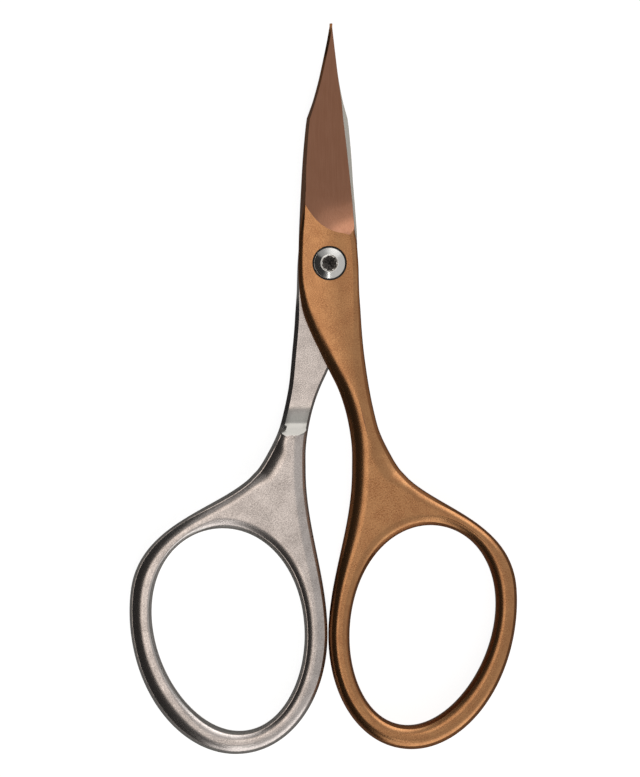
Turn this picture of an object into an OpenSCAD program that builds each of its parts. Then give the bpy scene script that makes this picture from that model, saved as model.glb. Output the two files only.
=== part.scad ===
// Nail scissors with tower-point blades, lying flat.
// +Z is up and along the pivot, +Y runs from the pivot to the points, and the origin is on the
// pivot's axis at the level of the surface that the scissors rest on.
// Both halves come from one blank shape. The upper half has its ring on the +X side. The lower half
// is the same blank turned over about the Y axis, so its ring is on the -X side.

/* [Overall] */
// Thickness of the rings and handles, and of both halves together at the joint
handle_t = 3.4; // [3:0.1:4.2]
// Running gap between the two riding faces
ride_gap = 0.04; // [0.02:0.01:0.08]
// Gap between the two rings where they meet when the scissors are closed
ring_gap = 0.1; // [0.06:0.02:0.4]
// How far the pivot lies to the upper ring's side of the line that the halves mirror on
pivot_off = 0.2; // [0:0.01:0.3]

/* [Blank] */
// From the pivot to the points
blade_len = 29.6; // [27:0.2:33]
// From the pivot down to the web, where the shank opens out into the ring
shank_len = 25.45; // [24:0.1:28]
// Width of the joint at the pivot
joint_w = 7.4; // [6.6:0.1:8.2]
// Height of the shoulder above the pivot, where the narrow point begins
shoulder_y = 17.85; // [16:0.1:20]
// How far the closed points lie to the upper ring's side of the mirror line
point_lean = 0.37; // [0:0.01:0.45]
// How much narrower the lower blade's spine is ground than the upper one's
lower_spine_trim = 0.2; // [0:0.02:0.3]

/* [Edge finish] */
// Width of the slanted band along every outline
band_w = 0.5; // [0.3:0.05:0.55]
// Width of the rounded shoulder between that band and the flat
crown_w = 1; // [0.5:0.05:1.1]
// Height of the upright rim at the outline, above and below the middle
rim_h = 0.98; // [0.7:0.02:1.1]
// Height of the crease between the band and the shoulder, above and below the middle
crease_h = 1.43; // [1.2:0.01:1.55]

/* [Blade grinding] */
// Slope of the ground blade face
grind_slope = 0.232; // [0.18:0.002:0.25]
// Thickness left at the cutting edge
edge_t = 0.06; // [0.04:0.01:0.12]
// Height of the heel above the pivot, where the ground face ends at the cutting edge
heel_y = 3.62; // [3.2:0.02:4]
// How much higher the ground face ends at the spine
heel_rise = 4.8; // [3:0.1:5.4]
// Length of the hollow run-out from the ground face up to the flat
runout_len = 6.5; // [4:0.1:7]
// Height of the clearance ramp's foot below the pivot, on the riding side
ramp_y = 17.2; // [16:0.1:18]
// Length of that ramp, up to the full handle thickness
ramp_len = 3.6; // [2.8:0.1:4.4]

/* [Upper ring] */
// Half of the ring's outside length, along its long axis
upper_ring_a = 16.27; // [15.6:0.01:17]
// Half of its outside width, across that axis
upper_ring_b = 11.42; // [10.8:0.01:12]
// Lean of its long axis to the outside
upper_ring_lean = 10.2; // [6:0.2:12]
// Half of the finger hole's length
upper_hole_a = 12.5; // [11.8:0.01:12.8]
// Half of the finger hole's width
upper_hole_b = 8.73; // [8.2:0.01:9]
// Lean of the finger hole
upper_hole_lean = 13.3; // [9:0.2:15]
// How far its middle lies nearer to the mirror line than the ring's own
upper_hole_in = 0.2; // [0:0.02:0.4]

/* [Lower ring] */
// Half of the ring's outside length, along its long axis
lower_ring_a = 16.25; // [15.6:0.01:17]
// Half of its outside width, across that axis
lower_ring_b = 12.1; // [11.6:0.01:12.8]
// Lean of its long axis to the outside
lower_ring_lean = 7.6; // [5:0.2:11]
// Half of the finger hole's length
lower_hole_a = 12.6; // [11.8:0.01:12.8]
// Half of the finger hole's width
lower_hole_b = 9.27; // [8.8:0.01:9.6]
// Lean of the finger hole
lower_hole_lean = 10.7; // [8:0.2:13]
// How far its middle lies nearer to the mirror line than the ring's own
lower_hole_in = 0.1; // [0:0.02:0.4]

/* [Both rings] */
// Depth of the upper ring's middle below the pivot
upper_ring_y = 43.65; // [42:0.05:46]
// Depth of the lower ring's middle below the pivot
lower_ring_y = 44.2; // [42:0.05:46]
// How far the finger holes' middles lie below the rings' own
hole_drop = 0.95; // [0.4:0.05:1.2]
// How much wider the finger holes are above their middle than below, as a share
hole_egg_share = 0.08; // [0:0.01:0.1]
// Fullness of the rings and their holes: 2 is an ellipse, and more is squarer
ring_fullness = 2.06; // [2:0.02:2.2]

/* [Pivot] */
// Diameter of the screw's head
head_d = 3.84; // [3.5:0.02:4]
// Thickness of the screw's head
head_t = 0.85; // [0.7:0.05:0.95]
// How far the head slopes down from its middle to its rim
head_drop = 0.28; // [0.1:0.02:0.4]
// Diameter of the screw's plain shoulder
shoulder_d = 2.5; // [2.3:0.05:2.6]
// Diameter of the screw's threaded end, on its pitch line
thread_d = 1.9; // [1.6:0.05:2.1]
// Circle through the outer ends of the six-lobe recess
recess_d = 1.75; // [1.5:0.05:1.8]
// Depth of the recess
recess_depth = 0.6; // [0.4:0.05:0.7]
// Width of the level land between the recess and the chamfer around it
recess_land = 0.05; // [0.03:0.01:0.08]
// Chamfer around the recess
recess_chamfer = 0.12; // [0.05:0.01:0.2]
// Wall of the bush's rim around the screw's head
bush_wall = 0.155; // [0.1:0.005:0.3]
// Thickness of the bush's floor under the head
bush_floor = 0.3; // [0.2:0.02:0.35]
// Wall of the bush's sleeve, around the screw's shoulder
sleeve_wall = 0.3; // [0.2:0.02:0.4]
// Radial running clearance between the screw's shoulder and the sleeve
run_clear = 0.03; // [0.02:0.01:0.05]
// Clearance around and under the screw's head
head_clear = 0.05; // [0.04:0.01:0.08]
// How far the head lies below the flat of the joint
head_sink = 0.02; // [0:0.01:0.1]

/* [Hidden] */
$fn = 96;

half_t = handle_t / 2;
ride_z = ride_gap / 2;
steel_color = [0.72, 0.70, 0.69];
copper_color = [0.70, 0.48, 0.33];
polished_color = [0.80, 0.80, 0.79];
polymer_color = [0.08, 0.07, 0.07];

// Steps of the blank's grid
profile_steps = 4;
flat_steps = 6;
left_web_steps = 10;
ring_steps = 44;
right_web_steps = 18;
shank_rows = 5;
ramp_rows = 5;
joint_rows = 11;
blade_rows = 5;
point_rows = 8;

// Edge profile: depth from the outline and height from the middle, from the rim up to the flat.
// The shoulder begins at the crease and levels out along a parabola.
function shoulder_z(t) = crease_h + (half_t - crease_h) * (1 - (1 - t) ^ 2);
shoulder_shares = [for (i = [0:profile_steps - 1]) i / (profile_steps - 1)];
edge_profile = concat(
    [[0, rim_h]],
    [for (t = shoulder_shares) [band_w + crown_w * t, shoulder_z(t)]]);
edge_depth = band_w + crown_w;
edge_points = len(edge_profile);

// Outline of the shank, joint and blade up to the shoulder: height as a share of the length on its
// side of the pivot, then the left and right sides as shares of the joint's width
body_shares = [
    [-1.00, 0.400, 1.205],
    [-0.90, 0.398, 0.996],
    [-0.81, 0.362, 0.853],
    [-0.71, 0.288, 0.760],
    [-0.61, 0.172, 0.690],
    [-0.52, 0.020, 0.640],
    [-0.42, -0.148, 0.594],
    [-0.32, -0.310, 0.562],
    [-0.23, -0.422, 0.542],
    [-0.14, -0.471, 0.521],
    [-0.08, -0.488, 0.515],
    [0.00, -0.493, 0.506]];
// The same from the pivot up to the blade's shoulder, with the height as a share of shoulder_y
blade_shares = [
    [0.16, -0.486, 0.474],
    [0.21, -0.484, 0.448],
    [0.29, -0.476, 0.430],
    [0.44, -0.459, 0.402],
    [0.71, -0.422, 0.334],
    [0.92, -0.378, 0.277],
    [1.00, -0.354, 0.253]];
// The narrow point, with the height as a share of its own length
point_shares = [
    [0.00, -0.354, 0.253],
    [0.09, -0.307, 0.236],
    [0.19, -0.257, 0.216],
    [0.40, -0.177, 0.156],
    [0.61, -0.114, 0.105],
    [0.82, -0.056, 0.055],
    [1.00, -0.016, 0.014]];
// How much the ground face's end climbs towards the spine
heel_curve = 2.8;
// Distances up the run-out at which the grid has a row, as shares of its length
runout_shares = [0, 0.12, 0.3, 0.55, 1];
// Part of the blade's width, and of the ring's, that each edge profile may take
edge_share = 0.34;
ring_share = 0.4;

point_len = blade_len - shoulder_y;
body_table = concat(
    [for (s = body_shares) [s[0] * shank_len, s[1] * joint_w, s[2] * joint_w]],
    [for (s = blade_shares) [s[0] * shoulder_y, s[1] * joint_w, s[2] * joint_w]]);
point_table = [for (s = point_shares)
    [shoulder_y + s[0] * point_len, s[1] * joint_w, s[2] * joint_w]];

// Where the web's two sides leave the ring, as turns around the ring's middle
left_leave = 190;
right_leave = 380;
// Where the columns from the finger hole meet the ends of the shank's foot
foot_left = 130;
foot_right = 466;
// Reach of the web's curves at the ring's end and at the shank's end, as shares of shank_len
left_reach_share = 0.275;
right_ring_reach_share = 0.345;
right_foot_reach_share = 0.235;
// How the columns crowd along the right web: on the hole's side, and on the outside
hole_crowding = 1.7;
outside_crowding = 0.6;
// Direction in which the web's right side leaves the shank's foot
foot_turn = -52;

function mix(a, b, t) = a * (1 - t) + b * t;
function unit(v) = v / norm(v);
function turned(v, a) = [v[0] * cos(a) - v[1] * sin(a), v[0] * sin(a) + v[1] * cos(a)];
function bezier(p, t) = mix(
    mix(mix(p[0], p[1], t), mix(p[1], p[2], t), t),
    mix(mix(p[1], p[2], t), mix(p[2], p[3], t), t), t);

// Smooth curve through the rows of a table: slope at a row, and value at a height
function slope_at(rows, i, side) =
    let (a = rows[max(i - 1, 0)], b = rows[min(i + 1, len(rows) - 1)])
    (b[side] - a[side]) / (b[0] - a[0]);
function along(rows, y, side) =
    let (
        below = len([for (r = rows) if (r[0] <= y) r]) - 1,
        i = min(max(below, 0), len(rows) - 2),
        a = rows[i],
        b = rows[i + 1],
        h = b[0] - a[0],
        t = (y - a[0]) / h)
    (2 * t ^ 3 - 3 * t ^ 2 + 1) * a[side] + (t ^ 3 - 2 * t ^ 2 + t) * h * slope_at(rows, i, side)
    + (3 * t ^ 2 - 2 * t ^ 3) * b[side] + (t ^ 3 - t ^ 2) * h * slope_at(rows, i + 1, side);

// Side of the blank at a height: 1 is the spine's side, 2 is the cutting edge's. The point leans
// by lean, and the spine is trim narrower from the end of the run-out up, which fades to the point.
function side_x(y, side, lean, trim) =
    let (
        up = max(0, (y - shoulder_y) / point_len),
        trimmed = min(1, max(0, (y - heel_y) / runout_len)) * (1 - up))
    (y < shoulder_y ? along(body_table, y, side) : along(point_table, y, side))
    + lean * up + (side == 1 ? trim * trimmed : 0);

// Height of the edge profile at a depth from the outline
function profile_z(d) =
    d < band_w ? mix(rim_h, crease_h, max(d, 0) / band_w)
    : d < edge_depth ? shoulder_z((d - band_w) / crown_w)
    : half_t;

// Lower end of the ground face, and its height, at a share of the way from the spine to the edge
function heel_at(s) = heel_y + heel_rise * (1 - s) ^ heel_curve;
function ground_z(y, s, width) =
    let (
        face = ride_z + edge_t + grind_slope * width * (1 - s),
        up = (y - heel_at(s)) / runout_len,
        flat_over = handle_t)
    up < 0 ? flat_over : face + max(0, half_t - face) * (1 - min(1, up)) ^ 2;
// Top and underside at a depth from the nearest side
function top_z(y, s, width, depth) = min(profile_z(depth), ground_z(y, s, width));
function under_z(y, depth) =
    let (down = max(0, (-y - ramp_y) / ramp_len))
    max(-profile_z(depth), ride_z - (half_t + ride_z) * min(1, down) ^ 2);

// One row of the shank, joint or blade, as a closed loop of points: up its top from the spine's side
// to the edge's side, and back along its underside. rise lifts the row towards the spine.
function row_points(y, rise, lean, trim) =
    let (
        left = [side_x(y + rise, 1, lean, trim), y + rise],
        right = [side_x(y, 2, lean, trim), y],
        width = right[0] - left[0],
        fit = min(1, edge_share * width / edge_depth),
        depths = [for (p = edge_profile) p[0] * fit],
        inner = [for (i = [1:flat_steps - 1])
            mix(edge_depth * fit, width - edge_depth * fit, i / flat_steps)],
        xs = concat(depths, inner, [for (i = [edge_points - 1:-1:0]) width - depths[i]]),
        top = [for (x = xs)
            let (s = x / width, py = y + rise * (1 - s) ^ heel_curve)
            [left[0] + x, py, top_z(py, s, width, min(x, width - x) / fit)]],
        under = [for (i = [len(xs) - 1:-1:0])
            let (x = xs[i], py = top[i][1])
            [left[0] + x, py, min(under_z(py, min(x, width - x) / fit), top[i][2] - edge_t / 2)]])
    concat(top, under);

// Heights and rises of all the rows above the shank's foot
foot_y = -shank_len;
ramp_end = -ramp_y - ramp_len;
heel_foot = -joint_w / 2;
blade_start = heel_y + runout_len;
row_places = concat(
    [for (i = [1:shank_rows]) [mix(foot_y, ramp_end, i / shank_rows), 0]],
    [for (i = [1:ramp_rows]) [mix(ramp_end, -ramp_y, i / ramp_rows), 0]],
    [for (i = [1:joint_rows]) [mix(-ramp_y, heel_foot, i / joint_rows), 0]],
    [for (i = [1:3]) [mix(heel_foot, heel_y, i / 4), heel_rise * (i / 4) ^ 2]],
    [for (s = runout_shares) [heel_y + s * runout_len, heel_rise * (1 - s / 3)]],
    [for (i = [1:blade_rows])
        [mix(blade_start, shoulder_y, i / blade_rows), heel_rise * 2 / 3 * (1 - i / blade_rows)]],
    [for (i = [1:point_rows]) [mix(shoulder_y, blade_len, i / point_rows), 0]]);

// Ring: a point of a leaning full ellipse, with the egg share for the finger hole
function fuller(v) = sign(v) * abs(v) ^ (2 / ring_fullness);
function ring_point(mid, a, b, lean, egg, turn) =
    mid + turned([b * (1 + egg * sin(turn)) * fuller(cos(turn)), a * fuller(sin(turn))], -lean);
// Half of a leaning ellipse's width
function half_width(a, b, lean) = norm([b * cos(lean), a * sin(lean)]);

// The finger hole's and the outside's points of each column, counted from the foot's left end down
// the left side, around the ring, up the right side and back along the foot
function hole_turns() = concat(
    [for (i = [0:left_web_steps - 1]) mix(foot_left, left_leave, i / left_web_steps)],
    [for (i = [0:ring_steps - 1]) mix(left_leave, right_leave, i / ring_steps)],
    [for (i = [0:right_web_steps - 1])
        mix(right_leave, foot_right, 1 - (1 - i / right_web_steps) ^ hole_crowding)],
    [for (i = [0:flat_steps - 1]) mix(foot_right, foot_left + 360, i / flat_steps)]);
function outside_points(mid, a, b, lean) =
    let (
        left_foot = [side_x(foot_y, 1, 0, 0), foot_y],
        right_foot = [side_x(foot_y, 2, 0, 0), foot_y],
        left_end = ring_point(mid, a, b, lean, 0, left_leave),
        right_end = ring_point(mid, a, b, lean, 0, right_leave),
        step = 1,
        left_way = unit(ring_point(mid, a, b, lean, 0, left_leave - step) - left_end),
        right_way = unit(ring_point(mid, a, b, lean, 0, right_leave + step) - right_end),
        left_web = [
            left_foot,
            left_foot + [0, -left_reach_share * shank_len],
            left_end + left_way * left_reach_share * shank_len,
            left_end],
        right_web = [
            right_end,
            right_end + right_way * right_ring_reach_share * shank_len,
            right_foot + turned([right_foot_reach_share * shank_len, 0], foot_turn),
            right_foot])
    concat(
        [for (i = [0:left_web_steps - 1]) bezier(left_web, i / left_web_steps)],
        [for (i = [0:ring_steps - 1])
            ring_point(mid, a, b, lean, 0, mix(left_leave, right_leave, i / ring_steps))],
        [for (i = [0:right_web_steps])
            bezier(right_web, 1 - (1 - i / right_web_steps) ^ outside_crowding)]);

// Distance from a point to the nearest one of a run
function least_gap(p, points) = min([for (q = points) norm(q - p)]);
// Direction into the metal at each point of a run, across the line through its neighbours
function inward(points, i, closed, hand) =
    let (
        n = len(points),
        a = closed ? points[(i + n - 1) % n] : points[max(i - 1, 0)],
        b = closed ? points[(i + 1) % n] : points[min(i + 1, n - 1)])
    turned(unit(b - a), hand * 90);

// Shape of one blank. It is a grid of columns around the finger hole, and a grid of rows from the
// shank's foot to the point. Both share the points along the foot.
module blank(ring_y, ring_a, ring_b, ring_lean, hole_a, hole_b, hole_lean, hole_in, lean, trim) {
    mid = [ring_gap / 2 + half_width(ring_a, ring_b, ring_lean), -ring_y];
    hole = [for (t = hole_turns())
        ring_point(mid - [hole_in, hole_drop], hole_a, hole_b, hole_lean, hole_egg_share, t)];
    outside = outside_points(mid, ring_a, ring_b, ring_lean);
    columns = len(hole);
    outer_columns = len(outside);
    e = edge_points;

    // Where the ring is narrow, the edge profiles of both sides share its width
    hole_fit = [for (p = hole) min(1, ring_share * least_gap(p, outside) / edge_depth)];
    outside_fit = [for (p = outside) min(1, ring_share * least_gap(p, hole) / edge_depth)];

    // Finger hole's edge profile: top then underside, rim first
    hole_grid = [for (side = [1, -1]) for (k = [0:e - 1]) for (i = [0:columns - 1])
        let (p = hole[i] + inward(hole, i, true, -1) * edge_profile[k][0] * hole_fit[i])
        [p[0], p[1], side * edge_profile[k][1]]];
    // Outside's edge profile, from the foot's left end round to its right end
    out_grid = [for (side = [1, -1]) for (k = [0:e - 1]) for (i = [0:outer_columns - 1])
        let (
            square = i == 0 || i == outer_columns - 1,
            way = square ? [i == 0 ? 1 : -1, 0] : inward(outside, i, false, 1),
            p = outside[i] + way * edge_profile[k][0] * outside_fit[i])
        [p[0], p[1], side * edge_profile[k][1]]];
    // The foot's points between its two edge profiles, from its right end back to its left end
    foot_left_x = outside[0][0] + edge_depth;
    foot_right_x = outside[outer_columns - 1][0] - edge_depth;
    foot_grid = [for (side = [1, -1]) for (i = [1:flat_steps - 1])
        [mix(foot_right_x, foot_left_x, i / flat_steps), foot_y, side * half_t]];
    rows = [for (r = row_places) row_points(r[0], r[1], lean, trim)];
    row_len = len(rows[0]);

    out_start = len(hole_grid);
    foot_start = out_start + len(out_grid);
    row_start = foot_start + len(foot_grid);

    function hole_at(side, k, i) = (side * e + k) * columns + i % columns;
    function out_at(side, k, i) = out_start + (side * e + k) * outer_columns + i;
    function foot_at(side, i) = foot_start + side * (flat_steps - 1) + i - 1;
    // Where a column's flat ends: on the outside's profile, or on the foot
    function flat_end(side, i) =
        i % columns < outer_columns ? out_at(side, e - 1, i % columns)
        : foot_at(side, i - outer_columns + 1);
    // The foot as a loop in the same order as a row: along the top, then back along the underside
    foot_loop = concat(
        [for (k = [0:e - 1]) out_at(0, k, 0)],
        [for (i = [flat_steps - 1:-1:1]) foot_at(0, i)],
        [for (k = [e - 1:-1:0]) out_at(0, k, outer_columns - 1)],
        [for (k = [0:e - 1]) out_at(1, k, outer_columns - 1)],
        [for (i = [1:flat_steps - 1]) foot_at(1, i)],
        [for (k = [e - 1:-1:0]) out_at(1, k, 0)]);
    function row_at(r, i) = r == 0 ? foot_loop[i % row_len] : row_start + (r - 1) * row_len + i % row_len;

    // Two triangles on the corners a, b, c, d, and the same seen from the other side
    function patch(a, b, c, d) = [[a, b, c], [a, c, d]];
    function facing(side, a, b, c, d) = side == 0 ? patch(a, b, c, d) : patch(d, c, b, a);

    faces = concat(
        [for (i = [0:columns - 1]) for (k = [0:e - 2]) for (side = [0, 1])
            for (f = facing(side, hole_at(side, k, i), hole_at(side, k, i + 1),
                hole_at(side, k + 1, i + 1), hole_at(side, k + 1, i))) f],
        [for (i = [0:columns - 1])
            for (f = patch(hole_at(1, 0, i), hole_at(1, 0, i + 1),
                hole_at(0, 0, i + 1), hole_at(0, 0, i))) f],
        [for (i = [0:columns - 1]) for (side = [0, 1])
            for (f = facing(side, hole_at(side, e - 1, i), hole_at(side, e - 1, i + 1),
                flat_end(side, i + 1), flat_end(side, i))) f],
        [for (i = [0:outer_columns - 2]) for (k = [0:e - 2]) for (side = [0, 1])
            for (f = facing(side, out_at(side, k + 1, i), out_at(side, k + 1, i + 1),
                out_at(side, k, i + 1), out_at(side, k, i))) f],
        [for (i = [0:outer_columns - 2])
            for (f = patch(out_at(0, 0, i), out_at(0, 0, i + 1),
                out_at(1, 0, i + 1), out_at(1, 0, i))) f],
        [for (r = [0:len(rows) - 1]) for (i = [0:row_len - 1])
            for (f = patch(row_at(r, i), row_at(r + 1, i),
                row_at(r + 1, i + 1), row_at(r, i + 1))) f],
        [for (i = [0:row_len / 2 - 2])
            for (f = patch(row_at(len(rows), i + 1), row_at(len(rows), i),
                row_at(len(rows), row_len - 1 - i), row_at(len(rows), row_len - 2 - i))) f]);
    polyhedron(concat(hole_grid, out_grid, foot_grid, [for (r = rows) for (p = r) p]), faces, 8);
}

// Pivot levels, from the resting surface up
head_top = handle_t - head_sink;
head_under = head_top - head_t;
bush_seat = head_under - head_clear - bush_floor;
ride_low = half_t - ride_z;
ride_high = half_t + ride_z;
sleeve_d = shoulder_d + 2 * (run_clear + sleeve_wall);
bush_d = head_d + 2 * (head_clear + bush_wall);
land_d = recess_d + 2 * recess_land;
overrun = handle_t / 2;

module copper_half() color(copper_color) difference() {
    translate([-pivot_off, 0, half_t])
        blank(upper_ring_y, upper_ring_a, upper_ring_b, upper_ring_lean,
            upper_hole_a, upper_hole_b, upper_hole_lean, upper_hole_in, point_lean, 0);
    cylinder(h = handle_t + overrun, d = sleeve_d);
    translate([0, 0, bush_seat]) cylinder(h = handle_t, d = bush_d);
}

module steel_half() color(steel_color) difference() {
    translate([-pivot_off, 0, half_t]) rotate([0, 180, 0])
        blank(lower_ring_y, lower_ring_a, lower_ring_b, lower_ring_lean,
            lower_hole_a, lower_hole_b, lower_hole_lean, lower_hole_in,
            -point_lean, lower_spine_trim);
    translate([0, 0, -overrun]) cylinder(h = handle_t, d = thread_d);
}

// Outline of the six-lobe recess
module six_lobes() {
    lobe_d = recess_d / 4;
    flute_d = recess_d / 3;
    difference() {
        union() {
            circle(d = recess_d - lobe_d);
            for (i = [0:5]) rotate(60 * i) translate([(recess_d - lobe_d) / 2, 0]) circle(d = lobe_d);
        }
        for (i = [0:5]) rotate(60 * i + 30) translate([recess_d / 2, 0]) circle(d = flute_d);
    }
}

module pivot_screw() color(polished_color) difference() {
    union() {
        cylinder(h = ride_low, d = thread_d);
        translate([0, 0, ride_low]) cylinder(h = head_under - ride_low, d = shoulder_d);
        translate([0, 0, head_under]) rotate_extrude() polygon([
            [0, 0],
            [head_d / 2, 0],
            [head_d / 2, head_t - head_drop],
            [land_d / 2 + recess_chamfer + recess_land, head_t],
            [0, head_t]]);
    }
    translate([0, 0, head_top - recess_depth]) linear_extrude(handle_t) six_lobes();
    translate([0, 0, head_top - recess_chamfer])
        cylinder(h = 2 * recess_chamfer, d1 = land_d, d2 = land_d + 4 * recess_chamfer);
}

module slide_bush() color(polymer_color) translate([0, 0, ride_high]) difference() {
    union() {
        cylinder(h = bush_seat - ride_high, d = sleeve_d);
        translate([0, 0, bush_seat - ride_high]) cylinder(h = head_top - bush_seat, d = bush_d);
    }
    translate([0, 0, -overrun]) cylinder(h = handle_t, d = shoulder_d + 2 * run_clear);
    translate([0, 0, bush_seat + bush_floor - ride_high])
        cylinder(h = handle_t, d = head_d + 2 * head_clear);
}

copper_half();
steel_half();
pivot_screw();
slide_bush();
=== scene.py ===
"""Nail scissors with tower-point blades: the looks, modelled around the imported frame.

Sizes are in millimetres until a mesh is made, and every mesh is in metres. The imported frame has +Z
up along the pivot, +Y from the pivot to the points, and its origin on the pivot's axis where the
closed scissors rest.
"""
import logging
import math
from collections.abc import Callable
from dataclasses import dataclass
from enum import Enum, IntEnum
from typing import ClassVar

import bmesh
import bpy
import numpy as np
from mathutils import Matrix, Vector


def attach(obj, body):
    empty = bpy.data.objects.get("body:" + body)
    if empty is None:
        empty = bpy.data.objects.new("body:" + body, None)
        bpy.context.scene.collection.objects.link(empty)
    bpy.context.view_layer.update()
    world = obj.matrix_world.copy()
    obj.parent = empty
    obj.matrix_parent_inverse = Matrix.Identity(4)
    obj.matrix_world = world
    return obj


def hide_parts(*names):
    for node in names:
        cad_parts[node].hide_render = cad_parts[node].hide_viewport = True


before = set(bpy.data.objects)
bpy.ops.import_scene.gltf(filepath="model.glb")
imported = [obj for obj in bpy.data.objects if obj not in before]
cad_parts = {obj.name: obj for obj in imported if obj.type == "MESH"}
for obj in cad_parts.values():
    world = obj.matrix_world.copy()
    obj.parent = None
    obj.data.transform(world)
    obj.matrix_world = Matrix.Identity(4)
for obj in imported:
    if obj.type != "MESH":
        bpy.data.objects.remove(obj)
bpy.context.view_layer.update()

LOG = logging.getLogger("nail_scissors")
MM = 0.001
# A point's number around its section, kept on the mesh while a skin is drawn
STATION = "station"
# Points nearer than this are one point
MERGE_MM = 0.0008
# Edges that bend by more than this stay crisp
SMOOTH_DEGREES = 12.0
# How often open ends are looked for and filled
FILL_ROUNDS = 2
# How often the height of a slanted row is worked out again
SETTLE_ROUNDS = 3
# The span over which an outline's slope is taken
SLOPE_STEP = 0.05
# A height where nothing is ground away
FAR_ABOVE = 9.0
# Less than any real height
HAIR = 1e-6
# How far a drill reaches past the metal, and the narrow one past the cup's seat
DRILL_OVER = 1.0
SEAT_OVER = 0.5

FaceTest = Callable[[Vector, Vector], bool]
Level = Callable[[np.ndarray], float]


class Patch(IntEnum):
    """The surfaces of a half that have a finish of their own, by material slot."""

    FLAT = 0
    BAND = 1
    GROUND = 2
    RIDING = 3


# ---------------------------------------------------------------- hands on the modelling tools


def deselect_all() -> None:
    if bpy.context.object and bpy.context.object.mode != "OBJECT":
        bpy.ops.object.mode_set(mode="OBJECT")
    bpy.ops.object.select_all(action="DESELECT")


def make_active(obj: bpy.types.Object) -> None:
    """Selects one object alone and makes it the active one.

    Args:
        obj: The object to work on.
    """
    deselect_all()
    obj.select_set(True)
    bpy.context.view_layer.objects.active = obj


def edit(obj: bpy.types.Object) -> bmesh.types.BMesh:
    """Opens an object in edit mode, with vertices as the selecting mode.

    Args:
        obj: The object to work on.

    Returns:
        The mesh as edit mode holds it.
    """
    make_active(obj)
    bpy.ops.object.mode_set(mode="EDIT")
    bpy.ops.mesh.select_mode(type="VERT")
    return bmesh.from_edit_mesh(obj.data)


def leave_edit() -> None:
    """Goes back to object mode."""
    bpy.ops.object.mode_set(mode="OBJECT")


def select_faces(obj: bpy.types.Object, wanted: FaceTest) -> None:
    """Selects the faces of an object in edit mode by their centre and normal.

    Args:
        obj: An object that is in edit mode.
        wanted: Says yes or no to a face by its centre in millimetres and its normal.
    """
    bpy.ops.mesh.select_mode(type="FACE")
    bpy.ops.mesh.select_all(action="DESELECT")
    for face in bmesh.from_edit_mesh(obj.data).faces:
        if wanted(face.calc_center_median() / MM, face.normal):
            face.select_set(True)
    bmesh.update_edit_mesh(obj.data)


def assign_slot(obj: bpy.types.Object, slot: int, wanted: FaceTest) -> None:
    """Gives the wanted faces of an object in edit mode one of its materials.

    Args:
        obj: An object that is in edit mode.
        slot: The number of the material.
        wanted: Says yes or no to a face by its centre in millimetres and its normal.
    """
    select_faces(obj, wanted)
    obj.active_material_index = slot
    bpy.ops.object.material_slot_assign()


class Loft:
    """A skin that is drawn by extruding a loop of edges from one section to the next."""

    def __init__(self, name: str, section: np.ndarray) -> None:
        """Starts from a circle whose points are moved onto the first section.

        Args:
            name: The new object's name.
            section: The first section's points, in millimetres, in order around the loop.
        """
        deselect_all()
        bpy.ops.mesh.primitive_circle_add(vertices=len(section), radius=MM, fill_type="NOTHING")
        self.obj = bpy.context.object
        self.obj.name = name
        self.obj.data.name = name
        self.obj.data.attributes.new(STATION, "INT", "POINT")
        mesh = edit(self.obj)
        stations = mesh.verts.layers.int[STATION]
        for index, vert in enumerate(mesh.verts):
            vert[stations] = index
        bpy.ops.mesh.select_all(action="SELECT")
        self.place(section)

    def place(self, section: np.ndarray) -> None:
        """Moves the selected loop onto a section.

        Args:
            section: Points in millimetres, by station.
        """
        mesh = bmesh.from_edit_mesh(self.obj.data)
        stations = mesh.verts.layers.int[STATION]
        for vert in mesh.verts:
            if vert.select:
                vert.co = section[vert[stations]] * MM
        bmesh.update_edit_mesh(self.obj.data, loop_triangles=False, destructive=False)

    def extend(self, section: np.ndarray) -> None:
        """Extrudes the selected loop to the next section.

        Args:
            section: Points in millimetres, by station.
        """
        bpy.ops.mesh.extrude_region_move()
        self.place(section)

    def keep(self, stations_kept: set[int]) -> None:
        """Leaves only a part of the loop selected, for a skin that goes on as an open strip.

        Args:
            stations_kept: The stations that stay selected.
        """
        mesh = bmesh.from_edit_mesh(self.obj.data)
        stations = mesh.verts.layers.int[STATION]
        for vert in mesh.verts:
            if vert.select and vert[stations] not in stations_kept:
                vert.select_set(False)
        mesh.select_flush(False)
        bmesh.update_edit_mesh(self.obj.data)

    def done(self) -> bpy.types.Object:
        """Returns to object mode and takes the stations off.

        Returns:
            The drawn object.
        """
        leave_edit()
        self.obj.data.attributes.remove(self.obj.data.attributes[STATION])
        return self.obj


def lofted(name: str, sections: list[np.ndarray]) -> Loft:
    """Draws a skin through sections.

    Args:
        name: The new object's name.
        sections: The sections' points by station, in millimetres.

    Returns:
        The loft, still in edit mode.
    """
    loft = Loft(name, sections[0])
    for section in sections[1:]:
        loft.extend(section)
    return loft


def around(sides: int) -> np.ndarray:
    """The turns of a round section's points."""
    return np.linspace(0, 2 * math.pi, sides, endpoint=False)


def round_section(radius: float | np.ndarray, z: float, sides: int) -> np.ndarray:
    """A level section around the pivot's axis.

    Args:
        radius: One radius, or one for each point.
        z: The section's level.
        sides: How many points it has.

    Returns:
        The section's points by station.
    """
    turns = around(sides)
    return np.stack([radius * np.cos(turns), radius * np.sin(turns), np.full(sides, z)], 1)


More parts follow.
